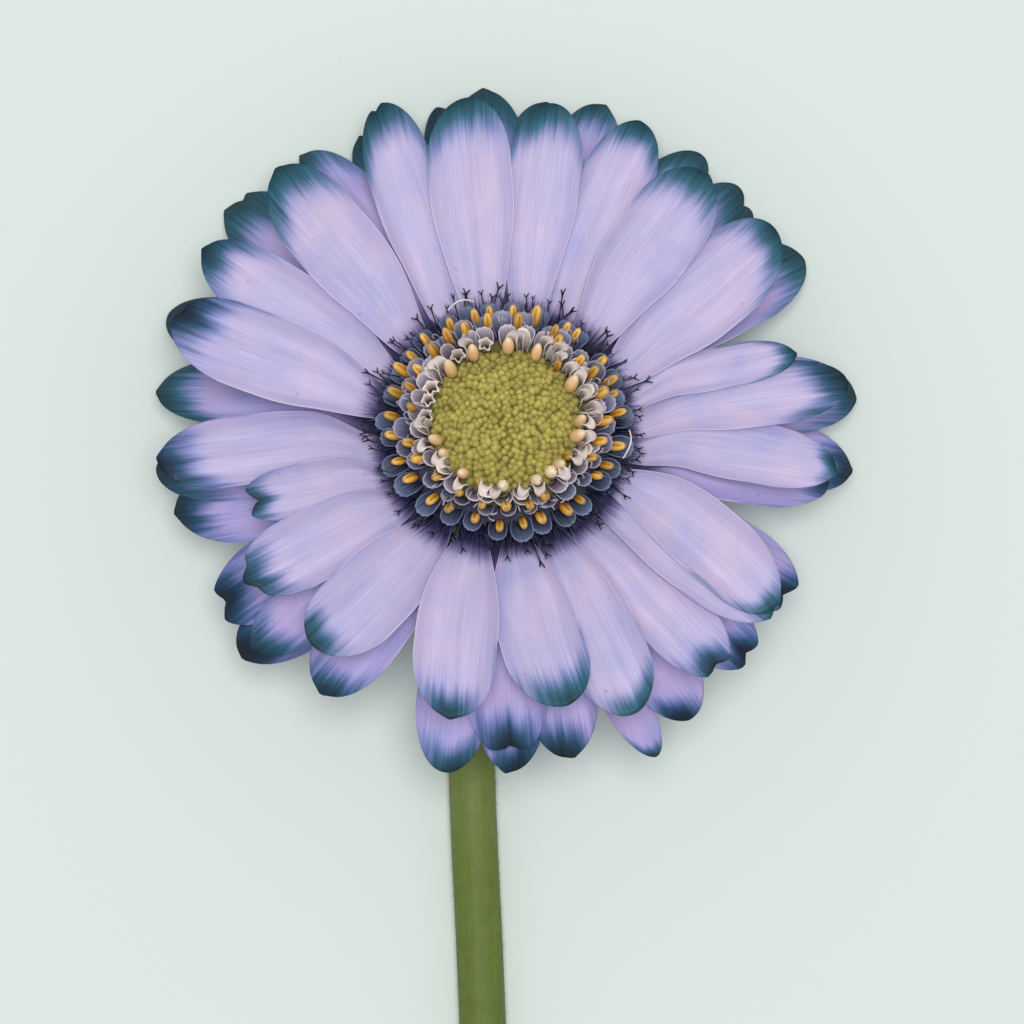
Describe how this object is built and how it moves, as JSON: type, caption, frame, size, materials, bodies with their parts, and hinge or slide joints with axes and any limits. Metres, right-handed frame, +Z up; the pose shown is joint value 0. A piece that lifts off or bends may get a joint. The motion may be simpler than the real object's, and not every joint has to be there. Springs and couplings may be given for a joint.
{
  "type": "mini gerbera flower",
  "caption": "Cut mini gerbera with dyed lilac rays and teal tips, lying on its stem with the flower head face up",
  "frame": {"origin": "on the surface it lies on, under the middle of its box", "axes": "+Y along the stem from its cut end to the flower head; +Z up, where the head faces; +X to the right, seen from above with the head away from the viewer"},
  "size_m": [0.075, 0.199, 0.0338],
  "materials": {
    "inner_rays": "satin petal, lilac with fine lengthwise veins and teal to petrol tips",
    "outer_rays": "satin petal, lilac to violet with teal to navy tips",
    "outer_florets": "matt, slate-blue corollas with golden anthers",
    "inner_florets": "matt, cream and lilac-grey corollas with golden anthers",
    "buds": "satin, olive-green domed buds",
    "receptacle": "matt, dark where the florets stand",
    "bracts": "matt, downy green with paler edges",
    "stem": "downy mid green, paler towards the head"
  },
  "bodies": {
    "root": {"inner_ray_floret_01": "inner_rays", "inner_ray_floret_02": "inner_rays", "inner_ray_floret_03": "inner_rays", "inner_ray_floret_04": "inner_rays", "inner_ray_floret_05": "inner_rays", "inner_ray_floret_06": "inner_rays", "inner_ray_floret_07": "inner_rays", "inner_ray_floret_08": "inner_rays", "inner_ray_floret_09": "inner_rays", "inner_ray_floret_10": "inner_rays", "inner_ray_floret_11": "inner_rays", "inner_ray_floret_12": "inner_rays", "inner_ray_floret_13": "inner_rays", "inner_ray_floret_14": "inner_rays", "inner_ray_floret_15": "inner_rays", "inner_ray_floret_16": "inner_rays", "inner_ray_floret_17": "inner_rays", "inner_ray_floret_18": "inner_rays", "inner_ray_floret_19": "inner_rays", "inner_ray_floret_20": "inner_rays", "inner_ray_floret_21": "inner_rays", "inner_ray_floret_22": "inner_rays", "outer_ray_floret_01": "outer_rays", "outer_ray_floret_02": "outer_rays", "outer_ray_floret_03": "outer_rays", "outer_ray_floret_04": "outer_rays", "outer_ray_floret_05": "outer_rays", "outer_ray_floret_06": "outer_rays", "outer_ray_floret_07": "outer_rays", "outer_ray_floret_08": "outer_rays", "outer_ray_floret_09": "outer_rays", "outer_ray_floret_10": "outer_rays", "outer_ray_floret_11": "outer_rays", "outer_ray_floret_12": "outer_rays", "outer_ray_floret_13": "outer_rays", "outer_ray_floret_14": "outer_rays", "outer_ray_floret_15": "outer_rays", "outer_ray_floret_16": "outer_rays", "outer_ray_floret_17": "outer_rays", "outer_ray_floret_18": "outer_rays", "outer_ray_floret_19": "outer_rays", "outer_ray_floret_20": "outer_rays", "outer_ray_floret_21": "outer_rays", "outer_ray_floret_22": "outer_rays", "outer_ray_floret_23": "outer_rays", "outer_ray_floret_24": "outer_rays", "outer_ray_floret_25": "outer_rays", "outer_ray_floret_26": "outer_rays", "outer_ray_floret_27": "outer_rays", "outer_ray_floret_28": "outer_rays", "outer_ray_floret_29": "outer_rays", "outer_ray_floret_30": "outer_rays", "outer_ray_floret_31": "outer_rays", "outer_ray_floret_32": "outer_rays", "outer_disc_florets": "outer_florets", "inner_disc_florets": "inner_florets", "disc_buds": "buds", "receptacle": "receptacle", "involucral_bracts": "bracts", "stem": "stem"}
  },
  "joints": []
}
